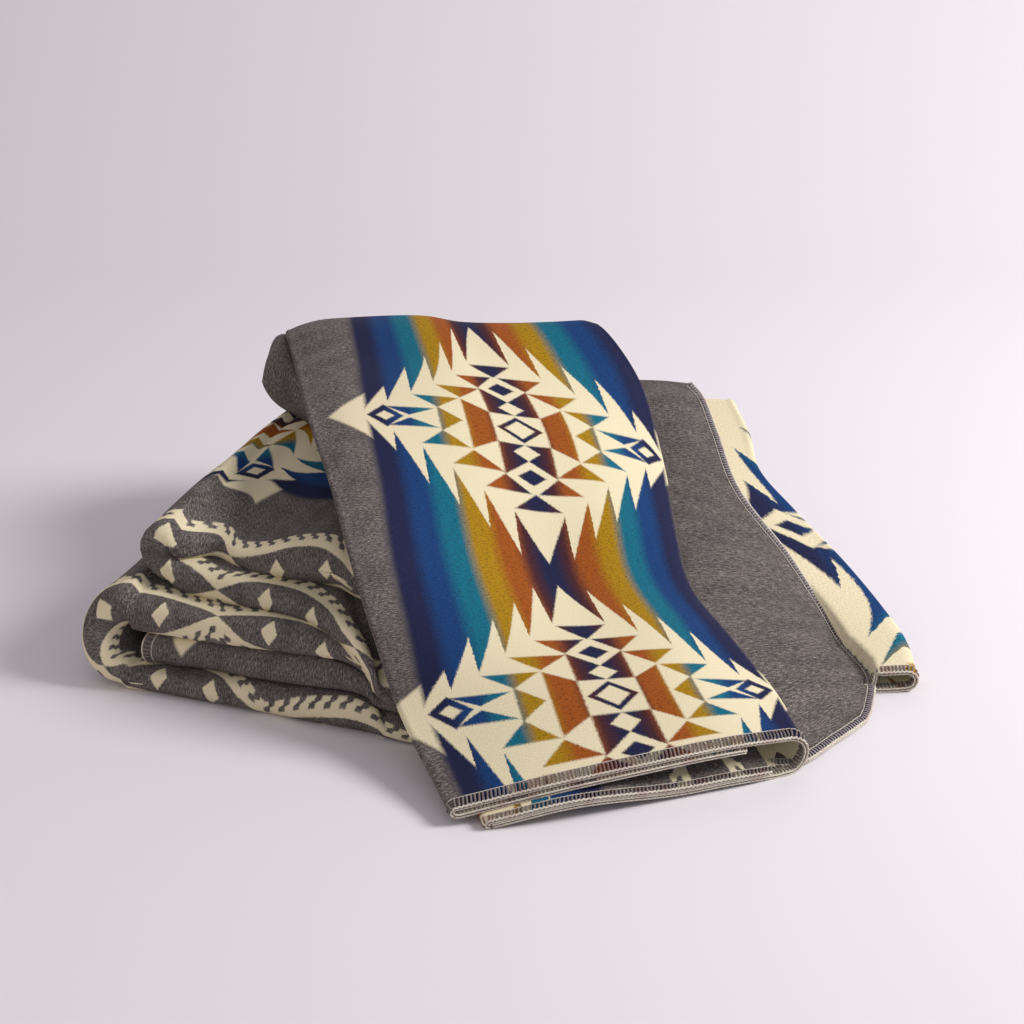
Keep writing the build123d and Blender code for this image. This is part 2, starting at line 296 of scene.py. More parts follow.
def cloth_material(name, reverse):
    """The woven cloth, from its flat coordinates; the reverse side swaps cream and colour."""
    material, n = node_material(name)
    flat = n.new("ShaderNodeUVMap", uv_map="flat")
    parts = n.new("ShaderNodeSeparateXYZ")
    n.put(flat.outputs[0], parts.inputs[0])
    x = n.mul(parts.outputs[0], 1 / MM)
    y = n.mul(parts.outputs[1], 1 / MM)
    place = n.vector(x, y)

    # Brushed yarns wander by 2 mm or so, slowly along the cloth and quickly across it.
    wander = n.noise(n.vector(n.mul(x, 0.9), n.mul(y, 0.28)), 1.0, 3.0, 0.7)
    sway = n.mul(n.sub(wander, 0.5), 4.6)
    wander_y = n.noise(n.vector(n.mul(x, 0.9), n.mul(y, 0.9), 7.0), 1.0, 2.0, 0.7)
    px = n.add(x, sway)
    py = n.add(y, n.mul(n.sub(wander_y, 0.5), 4.2))

    band = n.math("ROUND", n.mul(px, 1 / BAND_PERIOD))
    band = n.most(n.least(band, 1.0), -1.0)
    off_band = n.size(n.scaled(band, -BAND_PERIOD, px))
    c = n.mul(off_band, 1 / COLUMN)
    star_y = n.sub(n.math("FLOORED_MODULO", n.add(py, STAR_PITCH / 2 - STAR_START), STAR_PITCH),
                   STAR_PITCH / 2)
    r = n.mul(n.size(star_y), 1 / ROW)
    star = star_mask(n, c, r)
    lattice_off = n.sub(n.size(px), BAND_PERIOD / 2)
    lattice = lattice_mask(n, lattice_off, n.add(py, EYE_PITCH - STAR_START))
    near = n.step(n.sub(LATTICE_HALF + 4, n.size(lattice_off)), 1.0)
    cream = n.most(star, n.mul(lattice, near))

    colours = stripe_colours(n, n.add(c, n.mul(n.sub(wander, 0.5), 0.35)))
    grain = n.noise(place, 0.95, 3.0, 0.65)
    fleck = n.noise(n.vector(n.mul(x, 0.26), n.mul(y, 0.95), 3.0), 1.0, 3.0, 0.7)
    blotch = n.noise(n.vector(n.mul(x, 0.035), n.mul(y, 0.06), 5.0), 1.0, 2.0)
    # Grey ground is a heather of dark and pale fibres.
    is_grey = n.step(n.sub(c, 6.0), 0.3)
    fibres = n.add(n.linear(grain, fleck, 0.38, 0.62, -0.06), n.mul(blotch, 0.12))
    heather = n.ramp(fibres, [(0.38, GREY_DARK), (0.5, GREY), (0.62, GREY_PALE)])
    dark = n.step(n.sub(n.linear(fleck, grain, 0.5, 0.5, 0.0), 0.545), 0.09)
    dyed = n.mix_colour(n.mul(dark, 0.70), colours, tuple(0.28 * v for v in GREY_DARK))
    dyed = n.mix_colour(n.mul(n.step(n.sub(0.40, grain), 0.2), 0.03), dyed, GREY_PALE)
    coloured = n.mix_colour(is_grey, dyed, heather)
    shade = n.scaled(grain, 0.8, 0.56)
    pale = n.mix_colour(1.0, CREAM, n.vector(shade, shade, shade), blend="MULTIPLY")
    if reverse:
        cream = n.sub(1.0, cream)
    colour = n.mix_colour(cream, coloured, pale)

    # Fine ribs and a raised nap.
    rib = n.math("SINE", n.mul(n.add(x, n.mul(grain, 2.0)), 2 * math.pi / 1.9))
    pick = n.math("SINE", n.mul(y, 2 * math.pi / 2.3))
    height = n.add(n.add(n.mul(rib, 0.25), n.mul(pick, 0.18)), grain)
    roughness = n.scaled(grain, 0.15, 0.82)
    shader = fabric_shader(n, colour, roughness, 0.03, height, 0.24, 0.0005)
    n.fill(shader, {"Specular IOR Level": 0.1, "Sheen Roughness": 0.55,
                    "Sheen Tint": (0.9, 0.87, 0.84, 1)})
    return material


FRONT = cloth_material("blanket_front", False)
REVERSE = cloth_material("blanket_reverse", True)


# --- curves and meshes
def smooth(knots, values, at):
    """A smooth curve through values at knots, by cubic pieces with averaged slopes."""
    knots = np.asarray(knots, float)
    values = np.asarray(values, float)
    at = np.asarray(at, float)
    flat = values.reshape(len(knots), -1)
    steps = np.diff(knots)[:, None]
    slopes = np.diff(flat, axis=0) / steps
    tangent = np.empty_like(flat)
    tangent[0], tangent[-1] = slopes[0], slopes[-1]
    tangent[1:-1] = (slopes[:-1] * steps[1:] + slopes[1:] * steps[:-1]) / (steps[1:] + steps[:-1])
    k = np.clip(np.searchsorted(knots, at, side="right") - 1, 0, len(knots) - 2)
    h = knots[k + 1] - knots[k]
    t = ((at - knots[k]) / h)[..., None]
    h = h[..., None]
    out = ((1 + 2 * t) * (1 - t) ** 2 * flat[k] + t * (1 - t) ** 2 * h * tangent[k]
           + t * t * (3 - 2 * t) * flat[k + 1] + t * t * (t - 1) * h * tangent[k + 1])
    return out.reshape(at.shape + values.shape[1:])


def guided(guides, at, across):
    """A surface through guide rows: each has its place along, and its values across."""
    rows = smooth(*zip(*guides), at)
    stations = np.linspace(0, 1, rows.shape[1])
    return np.stack([smooth(stations, row, across) for row in rows])


def between(start, end, count):
    """Even steps between start and end."""
    return np.linspace(start, end, count + 2)[1:-1]


def unit(v):
    return v / np.maximum(np.linalg.norm(v, axis=-1, keepdims=True), 1e-9)


def normals(grid):
    """Directions square to a grid of points, along rows cross columns."""
    return unit(np.cross(np.gradient(grid, axis=0), np.gradient(grid, axis=1)))


def add_object(name, data):
    made = bpy.data.objects.new(name, data)
    bpy.context.collection.objects.link(made)
    return made


def mesh_piece(name, points, faces, slots, materials):
    """A smooth-shaded object from points in millimetres, faces, and each face's material."""
    mesh = bpy.data.meshes.new(name)
    mesh.from_pydata((points * MM).tolist(), [], faces)
    mesh.polygons.foreach_set("material_index", np.array(slots, np.int32))
    mesh.polygons.foreach_set("use_smooth", np.ones(len(faces), bool))
    for material in materials:
        mesh.materials.append(material)
    mesh.update()
    return add_object(name, mesh)


def cloth_mesh(name, middle, flat, materials=(FRONT, REVERSE)):
    """A sheet of cloth with two sides and a rounded rim, from a grid of its middle surface.

    middle is rows x columns x 3 and flat rows x columns x 2, both in millimetres. The first
    material is on the side that the normals point to."""
    rows, cols = middle.shape[:2]
    normal = normals(middle)
    upper = middle + normal * CLOTH_THICK / 2
    lower = middle - normal * CLOTH_THICK / 2
    count = rows * cols
    index = np.arange(count).reshape(rows, cols)
    quads = np.stack([index[1:, :-1], index[1:, 1:], index[:-1, 1:], index[:-1, :-1]], -1)
    quads = quads.reshape(-1, 4)
    faces = [quads, quads[:, ::-1] + count]
    ring = np.concatenate([index[0, :-1], index[:-1, -1], index[-1, :0:-1], index[:0:-1, 0]])
    outward = np.zeros_like(middle)
    outward[0] += middle[0] - middle[1]
    outward[-1] += middle[-1] - middle[-2]
    outward[:, 0] += middle[:, 0] - middle[:, 1]
    outward[:, -1] += middle[:, -1] - middle[:, -2]
    rim = (middle + unit(outward) * CLOTH_THICK * 0.45).reshape(-1, 3)[ring]
    rim_index = np.arange(len(ring)) + 2 * count
    after, rim_after = np.roll(ring, -1), np.roll(rim_index, -1)
    top_strip = np.stack([ring, after, rim_after, rim_index], -1)
    low_strip = np.stack([rim_index, rim_after, after + count, ring + count], -1)
    faces += [top_strip, low_strip]
    sides = np.concatenate([np.full(len(f), i % 2) for i, f in enumerate(faces)])
    points = np.concatenate([upper.reshape(-1, 3), lower.reshape(-1, 3), rim])
    faces = np.concatenate(faces)
    coords = flat.reshape(-1, 2)
    coords = np.concatenate([coords, coords, coords[ring]]) * MM
    piece = mesh_piece(name, points, faces.tolist(), sides, materials)
    layer = piece.data.uv_layers.new(name="flat")
    layer.data.foreach_set("uv", coords[faces.ravel()].ravel())
    return piece


def ripple(rows, cols, row_scale, col_scale, seed):
    """Slow random swells over a grid, from a few sine waves, between about -1 and 1."""
    random = np.random.default_rng(seed)
    v, u = np.mgrid[0:rows, 0:cols].astype(float)
    total = np.zeros((rows, cols))
    for _ in range(9):
        angle = random.uniform(0, 2 * math.pi)
        frequency = random.uniform(0.5, 1.5)
        total += np.sin(2 * math.pi * frequency * (u / col_scale * math.cos(angle)
                        + v / row_scale * math.sin(angle)) + random.uniform(0, 6.28))
    return total / 4.5


def ease(value, start, end):
    """0 before start, 1 after end, and smooth in between."""
    t = np.clip((np.asarray(value, float) - start) / (end - start), 0, 1)
    return t * t * (3 - 2 * t)


def lowest_over(pieces):
    """Search trees that find the lowest cloth over a place."""
    depsgraph = bpy.context.evaluated_depsgraph_get()
    return [BVHTree.FromObject(p, depsgraph) for p in pieces]


def room_under(points, trees):
    """Height in mm of the lowest cloth over each point, or a large height where there is none."""
    flat = points.reshape(-1, 3)
    out = np.full(len(flat), 900.0)
    up = Vector((0, 0, 1))
    for tree in trees:
        for i, p in enumerate(flat):
            hit = tree.ray_cast(Vector((p[0] * MM, p[1] * MM, -0.01)), up)
            if hit[0] is not None:
                out[i] = min(out[i], hit[0].z / MM)
    return out.reshape(points.shape[:-1])


def blurred(values, steps):
    """Values smoothed along their rows and columns."""
    kernel = np.exp(-0.5 * (np.arange(-2 * steps, 2 * steps + 1) / steps) ** 2)
    kernel /= kernel.sum()
    for axis in (0, 1):
        widths = [(2 * steps, 2 * steps) if k == axis else (0, 0) for k in (0, 1)]
        padded = np.pad(values, widths, mode="edge")
        values = np.apply_along_axis(np.convolve, axis, padded, kernel, mode="valid")
    return values


def finish_sheet(piece, nodes):
    """Attach a cloth piece to the root body, and hide the CAD nodes it stands for."""
    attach(piece, "root")
    if nodes:
        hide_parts(*nodes)


# --- overlock edging
BAR_PITCH = 3.3
BITE = 7.0


def tube_faces(rings, sides):
    """Quads for rings of points, sides to a ring, as one tube with closed ends."""
    faces = []
    for i in range(rings - 1):
        for j in range(sides):
            k = (j + 1) % sides
            faces.append((i * sides + j, i * sides + k, (i + 1) * sides + k, (i + 1) * sides + j))
    faces.append(tuple(range(sides))[::-1])
    faces.append(tuple((rings - 1) * sides + j for j in range(sides)))
    return faces


def tube_points(path, side, up, half_wide, half_high, sides=6):
    """Rings round a path: side and up are its cross directions at each point."""
    angle = np.arange(sides) * 2 * math.pi / sides
    ring = (side[:, None] * (np.cos(angle) * half_wide)[None, :, None]
            + up[:, None] * (np.sin(angle) * half_high)[None, :, None])
    return (path[:, None] + ring).reshape(-1, 3)


def resample(points, step, *along):
    """Points spaced evenly along a polyline, and other rows of values spaced with them."""
    length = np.concatenate([[0], np.cumsum(np.linalg.norm(np.diff(points, axis=0), axis=1))])
    count = max(int(length[-1] / step), 2)
    at = np.linspace(0, length[-1], count)
    return [np.stack([np.interp(at, length, column) for column in values.T], -1)
            for values in (points, *along)]


def edging(name, edge, inward, normal, nodes, bite=BITE, bars=None):
    """Overlock stitches round a cut edge: bars over it, a chain at its lip, a needle line."""
    points, inward, normal = resample(edge, BAR_PITCH, inward, normal)
    along = unit(np.gradient(points, axis=0))
    inward = unit(inward - along * (inward * along).sum(1, keepdims=True))
    normal = unit(normal)
    vertices, faces, slots = [], [], []

    def put(points, rings, sides, slot):
        base = sum(len(v) for v in vertices)
        vertices.append(points)
        made = tube_faces(rings, sides)
        faces.extend([tuple(base + k for k in f) for f in made])
        slots.extend([slot] * len(made))

    over = CLOTH_THICK / 2 + 0.9                # height of the thread over the cloth's middle
    profile = [(bite, over - 0.5), (bite * 0.55, over + 0.25), (0.8, over), (-1.7, over * 0.45),
               (-1.7, -over * 0.45), (0.8, -over), (bite * 0.55, -over - 0.25), (bite, 0.5 - over)]
    for k in range(len(points)):
        lean = along[k] * 1.1 * (1 if k % 2 else 0.6)
        path = np.array([points[k] + inward[k] * d + normal[k] * h + lean * (d / bite)
                         for d, h in profile])
        side = np.repeat(along[k][None], len(path), 0)
        up = unit(np.cross(np.gradient(path, axis=0), along[k]))
        put(tube_points(path, side, up, 0.95, 0.5, 5), len(path), 5, 0)
    fine_edge, fine_in, fine_normal = resample(points, 1.6, inward, normal)
    weave = np.sin(np.arange(len(fine_edge)) * math.pi * 0.8)[:, None]
    upper_chain = (fine_edge - fine_in * 2.0 + fine_normal * (over * 0.5 + 0.5 * weave)
                   + fine_in * 0.35 * weave)
    lower_chain = fine_edge - fine_in * 1.9 - fine_normal * (over * 0.5 - 0.4 * weave)
    needle_line = fine_edge + fine_in * (bite + 0.5) + fine_normal * (over - 0.55 + 0.3 * weave)
    for path, wide, high in ((upper_chain, 1.05, 0.9), (lower_chain, 0.9, 0.8),
                             (needle_line, 0.45, 0.35)):
        put(tube_points(path, fine_in, fine_normal, wide, high), len(path), 6, 1)
    piece = mesh_piece(name, np.concatenate(vertices), faces, slots,
                       [bars or THREAD_BARS, THREAD_CHAIN])
    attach(piece, "root")
    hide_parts(*nodes)
    return piece


def thread_material(name, low, high, other):
    """Crimped overlock yarn, whose colour drifts along the edge."""
    material, n = node_material(name)
    place = n.new("ShaderNodeTexCoord").outputs["Object"]
    fine = n.noise(place, 900.0, 2.0)
    broad = n.noise(place, 70.0, 2.0)
    colour = n.mix_colour(n.step(n.sub(fine, 0.5), 0.4), low, high)
    colour = n.mix_colour(n.mul(n.step(n.sub(broad, 0.56), 0.12), 0.75), colour, other)
    fabric_shader(n, colour, 0.75, 0.2, fine, 0.5, 0.0003)
    return material


THREAD_BARS = thread_material("overlock_bars",
                              (0.10, 0.08, 0.08), (0.26, 0.21, 0.19), (0.15, 0.06, 0.05))
THREAD_SIDE = thread_material("overlock_side",
                              (0.17, 0.15, 0.16), (0.38, 0.34, 0.36), (0.28, 0.20, 0.23))
THREAD_CHAIN = thread_material("overlock_chain",
                               (0.52, 0.46, 0.36), (0.80, 0.74, 0.62), (0.55, 0.44, 0.38))


# --- the runner
# Guide rows from the rear floor over the ridge to the front end. Each is at a row of the
# star grid counted from the upper star, and gives its left fold, three points across and
# its right fold, with the star grid's column at the two folds.
RUNNER_COLUMNS = (-3.0, 0.0, 3.0)
RUNNER_GUIDES = [
    (-21.0, -9.0, 5.4,
     [(-208, 318, 8), (-90, 322, 8), (-36, 322, 8), (32, 320, 8), (100, 316, 8)]),
    (-16.0, -9.0, 5.4,
     [(-210, 318, 105), (-90, 324, 105), (-36, 322, 105), (32, 320, 103), (100, 314, 100)]),
    (-12.4, -9.0, 5.5,
     [(-212, 310, 182), (-90, 316, 186), (-36, 312, 180), (32, 308, 176), (102, 300, 172)]),
    (-9.2, -9.1, 5.7,
     [(-214, 238, 229), (-88, 236, 236), (-34, 232, 231), (32, 236, 229), (100, 246, 229)]),
    (-4.6, -8.6, 5.9,
     [(-196, 148, 227), (-66, 132, 221), (-8, 145, 212), (66, 160, 201), (141, 192, 194)]),
    (0.0, -8.2, 6.1,
     [(-171, 34, 214), (-52, 49, 202), (21, 66, 183), (93, 84, 167), (161, 105, 140)]),
    (4.3, -7.8, 6.1,
     [(-145, -50, 188), (-36, -20, 165), (36, 0, 142), (106, 18, 130), (168, 32, 104)]),
    (8.5, -7.3, 6.1,
     [(-123, -124, 154), (-21, -79, 123), (49, -60, 99), (117, -49, 93), (177, -39, 80)]),
    (13.0, -7.0, 6.0,
     [(-100, -173, 98), (2, -150, 86), (75, -135, 78), (144, -125, 78), (205, -113, 66)]),
    (17.5, -6.7, 5.9,
     [(-76, -217, 44), (20, -217, 57), (98, -210, 61), (167, -201, 62), (234, -179, 48)]),
    (21.2, -6.5, 5.7,
     [(-35, -304, 14), (40, -291, 27), (120, -270, 34), (192, -248, 38), (250, -224, 32)]),
    (23.0, -6.4, 5.6,
     [(-23, -333, 10), (46, -321, 20), (128, -297, 27), (204, -274, 30), (258, -247, 27)]),
]
RUNNER_END = 21.2

ROWS_FINE = np.arange(-21.0, 23.01, 0.2)
ACROSS_FINE = np.linspace(0, 1, 90)
# The upper face's points and star grid columns; across is 0 at its left fold to 1 at its right.
TOP_FACE = guided([(g[0], g[3]) for g in RUNNER_GUIDES], ROWS_FINE, ACROSS_FINE)
TOP_COLUMN = guided([(g[0], (g[1], *RUNNER_COLUMNS, g[2])) for g in RUNNER_GUIDES],
                    ROWS_FINE, ACROSS_FINE)
TOP_FACE[..., 2] += 1.3 * ripple(*TOP_COLUMN.shape, 150, 90, 4)
# Where the runner is clear of the floor its two folds round over.
LIFTED = (1 - ease(ROWS_FINE, 9.0, 18.0))[:, None]
TOP_FACE[..., 2] -= 12.0 * LIFTED * np.clip(1 - ACROSS_FINE / 0.09, 0, 1) ** 2
TOP_FACE[..., 2] -= 8.0 * LIFTED * np.clip(1 - (1 - ACROSS_FINE) / 0.07, 0, 1) ** 2
TOP_NORMAL = normals(TOP_FACE)


def on_runner(grid, rows, across):
    """One of the grids above at any row and share across, in between its points too."""
    r = np.interp(rows, ROWS_FINE, np.arange(len(ROWS_FINE)))
    c = np.clip(across, 0, 1) * (grid.shape[1] - 1)
    i = np.clip(r.astype(int), 0, grid.shape[0] - 2)
    j = np.clip(c.astype(int), 0, grid.shape[1] - 2)
    fr = (r - i)[..., None]
    fc = (c - j)[..., None]
    near = grid[i, j] * (1 - fc) + grid[i, j + 1] * fc
    far = grid[i + 1, j] * (1 - fc) + grid[i + 1, j + 1] * fc
    return near * (1 - fr) + far * fr


def bottom_depth(across):
    """How far below the runner's upper face its bottom layer lies at the open front end."""
    return 13.5 + 16.0 * ease(across, 0.25, 0.65)


# Steps along the runner's outer layers, from the under layer's free edge to the bottom layer.
UNDER_STEPS, LEFT_TURN_STEPS, TOP_STEPS, RIGHT_TURN_STEPS, BOTTOM_STEPS = 44, 7, 72, 13, 66
LEFT_SHARE, RIGHT_SHARE = 0.012, 0.975      # shares across at which the layers turn
FOLDED_WIDTH = 335.0            # flat width of the folded strip
BOTTOM_BEYOND = 15.0            # how far the bottom layer ends beyond the upper one
UNDER_BEYOND = 3.0              # and the layer just under the upper one
INNER_BEYOND = 14.5             # and the innermost
INNER_LEFT = 0.085              # share across at which the innermost layer turns
INNER_START = -8.0              # row at which it starts


def runner_sections():
    """The runner's cross-section at its front end and further back.

    Each row gives the share across, mm outward at a fold, mm below the upper face and mm
    beyond the upper layer's end; the two lists have the same number of rows."""
    front, back = [], []

    def run(start, end, count, depth_front, depth_back, protrude):
        for a in np.linspace(start, end, count):
            front.append((a, 0.0, depth_front(a), protrude))
            back.append((a, 0.0, depth_back, protrude))

    def turn(across, out, front_depths, back_depths, steps, protrudes):
        for k, angle in enumerate(between(0, math.pi, steps)):
            share = (k + 1) / (steps + 1)
            protrude = protrudes[0] + (protrudes[1] - protrudes[0]) * share
            for rows, depths, reach in ((front, front_depths, out[0]), (back, back_depths, out[1])):
                middle, half = (depths[0] + depths[1]) / 2, (depths[0] - depths[1]) / 2
                depth = middle + half * math.cos(angle)
                rows.append((across, reach * math.sin(angle), depth, protrude))

    run(0.80, LEFT_SHARE, UNDER_STEPS, lambda a: 5.5, 4.6, UNDER_BEYOND)
    turn(LEFT_SHARE, (-4.0, -4.0), (5.5, 0.0), (4.6, 0.0), LEFT_TURN_STEPS, (UNDER_BEYOND, 0.0))
    run(LEFT_SHARE, RIGHT_SHARE, TOP_STEPS, lambda a: 0.0, 0.0, 0.0)
    turn(RIGHT_SHARE, (14.0, 7.0), (0.0, bottom_depth(RIGHT_SHARE)), (0.0, 13.6),
         RIGHT_TURN_STEPS, (0.0, BOTTOM_BEYOND))
    run(RIGHT_SHARE, 0.09, BOTTOM_STEPS, bottom_depth, 13.6, BOTTOM_BEYOND)
    return np.array(front), np.array(back)


def inner_sections():
    """The same for the innermost layer, which folds up from the bottom one at the left."""
    front, back = [], []
    for angle in np.linspace(0, math.pi, 9)[:-1]:
        for rows, deep in ((front, 13.5), (back, 13.6)):
            middle, half = (deep + 9.2) / 2, (deep - 9.2) / 2
            depth = middle + half * math.cos(angle)
            rows.append((INNER_LEFT, -4.0 * math.sin(angle), depth, INNER_BEYOND))
    for a in np.linspace(INNER_LEFT, 0.90, 60):
        front.append((a, 0.0, bottom_depth(a) - 4.3, INNER_BEYOND))
        back.append((a, 0.0, 9.1, INNER_BEYOND))
    return np.array(front), np.array(back)


def layered(sections, flat_x, name, first_row):
    """A sheet that follows the runner in the given cross-sections."""
    front, back = sections
    end = RUNNER_END + front[:, 3] / ROW
    w = np.linspace(0, 1, 170)[:, None]
    rows = first_row + w * (end[None, :] - first_row)
    nearness = ease(rows, 8.0, 19.0)
    outward, depth = [back[:, k] * (1 - nearness) + front[:, k] * nearness for k in (1, 2)]
    shares = np.broadcast_to(front[:, 0], rows.shape)
    face = on_runner(TOP_FACE, rows, shares)
    normal = on_runner(TOP_NORMAL, rows, shares)
    left, right = [on_runner(TOP_FACE, rows, np.full_like(rows, fold)) for fold in (0, 1)]
    side = unit(right - left)
    middle = face - normal * depth[..., None] + side * outward[..., None]
    middle[..., 2] = np.maximum(middle[..., 2], 2.2)
    flat = np.stack([flat_x(rows, shares, outward), STAR_START + (17.5 - rows) * ROW], -1)
    return middle, cloth_mesh(name, middle, flat)


def runner_flat_x(rows, shares, outward):
    """Distance from the middle star band's centre line for the runner's three outer layers."""
    column = on_runner(TOP_COLUMN[..., None], rows, shares)[..., 0] * COLUMN
    x = column.copy()
    left_turn_end = UNDER_STEPS + LEFT_TURN_STEPS
    top_end = left_turn_end + TOP_STEPS
    right_turn_end = top_end + RIGHT_TURN_STEPS
    left_x = column[:, left_turn_end:left_turn_end + 1]
    right_x = column[:, top_end - 1:top_end]
    under_shares = shares[:, :UNDER_STEPS] - LEFT_SHARE
    x[:, :UNDER_STEPS] = left_x - 9 - under_shares * FOLDED_WIDTH
    x[:, UNDER_STEPS:left_turn_end] = left_x - between(9, 0, LEFT_TURN_STEPS)
    bulge = np.maximum(outward[:, top_end:right_turn_end], 0).max(axis=1, keepdims=True)
    span = np.pi * np.maximum(bulge, 5)
    arc = between(0, 1, RIGHT_TURN_STEPS)
    x[:, top_end:right_turn_end] = right_x + arc * span
    bottom_shares = RIGHT_SHARE - shares[:, right_turn_end:]
    x[:, right_turn_end:] = right_x + span + bottom_shares * FOLDED_WIDTH
    return x


def inner_flat_x(_rows, shares, _outward):
    """The same for the innermost layer, which shows a lattice band."""
    x = BAND_PERIOD / 2 + (shares - 0.69) * FOLDED_WIDTH
    steps = np.arange(shares.shape[1])
    return x - np.maximum(8 - steps, 0) * 1.6


def end_lines(middle):
    """A sheet's last row as edge points, directions into the cloth, and upper side normals."""
    return middle[-1], unit(middle[-4] - middle[-1]), normals(middle)[-1]


def build_runner():
    middle, runner = layered(runner_sections(), runner_flat_x, "runner", ROWS_FINE[0])
    seam = edging("runner_end_stitching", *end_lines(middle), ["runner_top_edging"])
    finish_sheet(runner, ["runner_top", "rear_drape"])
    middle, inner = layered(inner_sections(), inner_flat_x, "runner_inner", INNER_START)
    seam = edging("runner_inner_stitching", *end_lines(middle),
                   ["runner_lower_edging"], bite=3.4)
    finish_sheet(inner, ["runner_lower"])
    return runner


runner = build_runner()


# --- grey side panel
# Sections from the rear to the front end: under the runner, part way, and the side edge.
PANEL_GUIDES = [
    (0.00, [(70, 262, 150), (118, 264, 156), (165, 262, 158), (197, 258, 156)]),
    (0.05, [(72, 244, 146), (122, 248, 153), (172, 247, 156), (206, 243, 149)]),
    (0.15, [(80, 190, 132), (134, 196, 140), (182, 194, 143), (216, 187, 134)]),
    (0.32, [(90, 105, 104), (148, 115, 112), (198, 112, 112), (232, 107, 103)]),
    (0.50, [(100, 30, 74), (168, 44, 86), (226, 44, 78), (277, 42, 60)]),
    (0.64, [(120, -40, 56), (190, -16, 62), (254, -10, 50), (302, -6, 33)]),
    (0.78, [(140, -110, 36), (208, -70, 40), (268, -52, 30), (317, -46, 18)]),
    (0.88, [(165, -150, 20), (230, -130, 22), (286, -100, 16), (335, -86, 9)]),
    (1.00, [(196, -212, 4), (246, -224, 5), (290, -184, 6), (323, -148, 5)]),
]


def build_panel():
    """The grey single layer, with one seam along its side edge and round its corner."""
    w = np.linspace(0, 1, 120)
    across = np.linspace(0, 1, 60)
    middle = guided(PANEL_GUIDES, w, across)
    middle[..., 2] += 1.6 * ripple(*middle.shape[:2], 70, 60, 12) * ease(across, 0.0, 0.5)
    middle[..., 2] = np.maximum(middle[..., 2], 3.0)
    width, length = 105, 480
    flat = np.stack(np.meshgrid(HALF_WIDTH - (1 - across) * width, -w * length), -1)
    panel = cloth_mesh("side_panel_cloth", middle, flat)
    side_lines = middle[:, -1], unit(middle[:, -4] - middle[:, -1]), normals(middle)[:, -1]
    round_corner = [np.concatenate([side[:-2], end[::-1][2:]])
                    for side, end in zip(side_lines, end_lines(middle))]
    seam = edging("side_panel_stitching", *round_corner, ["side_panel_edging"],
                  bite=4.2, bars=THREAD_SIDE)
    finish_sheet(panel, ["side_panel"])
    return panel


panel = build_panel()


# --- fold with its reverse side out
REVERSE_GUIDES = [
    (0.00, [(120, 262, 132), (184, 261, 140), (242, 259, 138)]),
    (0.08, [(122, 224, 118), (188, 224, 126), (254, 222, 120)]),
    (0.20, [(126, 178, 104), (194, 180, 110), (259, 178, 101)]),
    (0.38, [(136, 112, 78), (220, 124, 88), (291, 126, 76)]),
    (0.56, [(160, 40, 46), (254, 56, 58), (330, 62, 53)]),
    (0.74, [(190, -30, 24), (288, -12, 36), (358, -6, 37)]),
    (0.88, [(216, -74, 14), (308, -60, 24), (372, -55, 29)]),
    (1.00, [(240, -106, 12), (320, -100, 18), (374, -96, 20)]),
]
# The star grid's place at the fold, from the rear to the front end.
REVERSE_COLUMN = ([0, 0.16, 0.46, 0.72, 1.0], [2.2, 3.8, 4.85, 4.4, 2.3])
REVERSE_ROW = ([0, 0.16, 0.46, 0.72, 1.0], [-6.6, -3.9, 0, 2.5, 5.2])
REVERSE_SCALE = 0.48            # the motif, against its size on the runner


def build_reverse():
    """A fold whose outer layer, turn and under layer run from the panel to the right and back."""
    w = np.linspace(0, 1, 120)
    outer, bend, under = 44, 9, 34
    across = np.concatenate([np.linspace(0, 1, outer), np.ones(bend), np.linspace(1, 0.25, under)])
    turn = np.concatenate([np.zeros(outer), between(0, math.pi, bend), np.full(under, math.pi)])
    half = (4.2 + 4.0 * ease(w, 0.70, 1.0))[:, None]
    middle = guided(REVERSE_GUIDES, w, across)
    drop = half * (1 - np.cos(turn))
    middle[..., 2] -= drop
    middle[..., 0] += half * (np.sin(turn) - 1)
    middle[..., 2] += 1.4 * ripple(*middle.shape[:2], 60, 70, 21) * (across < 0.98)
    room = room_under(middle, lowest_over([panel]))
    room = np.minimum(room, blurred(np.minimum(room, middle[..., 2] + 30), 2))
    middle[..., 2] = np.minimum(middle[..., 2], room - 4.5 - drop)
    middle[..., 2] = np.maximum(middle[..., 2], np.where(turn > 1.5, 2.6, 7.5))
    outer_width, bend_width, under_width = 135, 13, 100
    distance = np.concatenate([(np.linspace(0, 1, outer) - 1) * outer_width,
                               between(0, bend_width, bend),
                               bend_width + np.linspace(0, under_width, under)])
    column = smooth(*REVERSE_COLUMN, w)[:, None]
    row = smooth(*REVERSE_ROW, w)[:, None]
    outward = np.tanh((w - 0.46) / 0.15)[:, None] * 0.55
    inward = -REVERSE_SCALE * distance
    flat_x = -(column * COLUMN + inward)
    flat_y = STAR_START + STAR_PITCH + row * ROW + outward * inward
    fold = cloth_mesh("reverse_fold_cloth", middle, np.stack([flat_x, flat_y], -1),
                      (REVERSE, FRONT))
    seam = edging("reverse_fold_stitching", *end_lines(middle), ["reverse_fold_edging"], bite=5.5)
    finish_sheet(fold, ["reverse_fold"])
    return fold


reverse_fold = build_reverse()


# --- the stack
STACK_CORNER = np.array([-329.0, -85.0])
STACK_TURN = math.radians(-20.5)
ALONG = np.array([math.cos(STACK_TURN), math.sin(STACK_TURN)])
REARWARD = np.array([-ALONG[1], ALONG[0]])
LEG_REAR = 330.0
STACK_TOP = 158.0


def stack_points(u, v, z):
    """Points from distances along the stack, towards its rear and up."""
    plan = STACK_CORNER + u[..., None] * ALONG + v[..., None] * REARWARD
    return np.concatenate([plan, z[..., None]], -1)


COVERS = lowest_over([runner, panel, reverse_fold])


